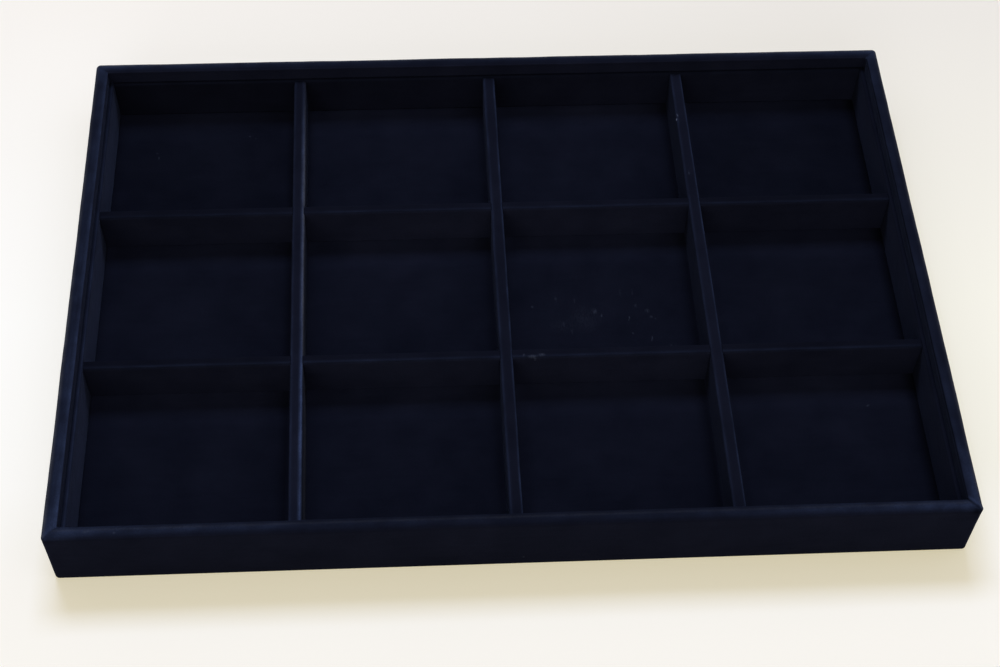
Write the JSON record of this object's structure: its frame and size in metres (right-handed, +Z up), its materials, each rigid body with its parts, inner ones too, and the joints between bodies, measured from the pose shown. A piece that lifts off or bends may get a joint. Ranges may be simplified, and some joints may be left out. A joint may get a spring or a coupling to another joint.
{
  "type": "bead display tray",
  "caption": "Shallow velvet-covered display tray with a raised rim, a lower lining and lapped dividers that part it into open compartments of nearly equal size.",
  "frame": {"origin": "centre of the underside, on the surface that the tray rests on", "axes": "+X to the right across the columns, +Y from the front to the rear, +Z up out of the compartments"},
  "size_m": [0.35, 0.24, 0.03],
  "materials": {
    "velvet": "matte",
    "felt": "matte",
    "fibreboard": "matte",
    "card": "matte",
    "brad_steel": "satin"
  },
  "bodies": {
    "root": {"base_board": "fibreboard", "base_brads": "brad_steel", "bottom_cover": "felt", "centre_divider_core": "fibreboard", "centre_divider_velvet": "velvet", "corner_brads": "brad_steel", "floor_card": "card", "floor_velvet": "velvet", "front_cross_divider_core": "fibreboard", "front_cross_divider_velvet": "velvet", "front_lining_card": "card", "front_lining_velvet": "velvet", "front_rail": "fibreboard", "left_divider_core": "fibreboard", "left_divider_velvet": "velvet", "left_lining_card": "card", "left_lining_velvet": "velvet", "left_rail": "fibreboard", "outer_velvet": "velvet", "rear_cross_divider_core": "fibreboard", "rear_cross_divider_velvet": "velvet", "rear_lining_card": "card", "rear_lining_velvet": "velvet", "rear_rail": "fibreboard", "right_divider_core": "fibreboard", "right_divider_velvet": "velvet", "right_lining_card": "card", "right_lining_velvet": "velvet", "right_rail": "fibreboard"}
  },
  "joints": []
}
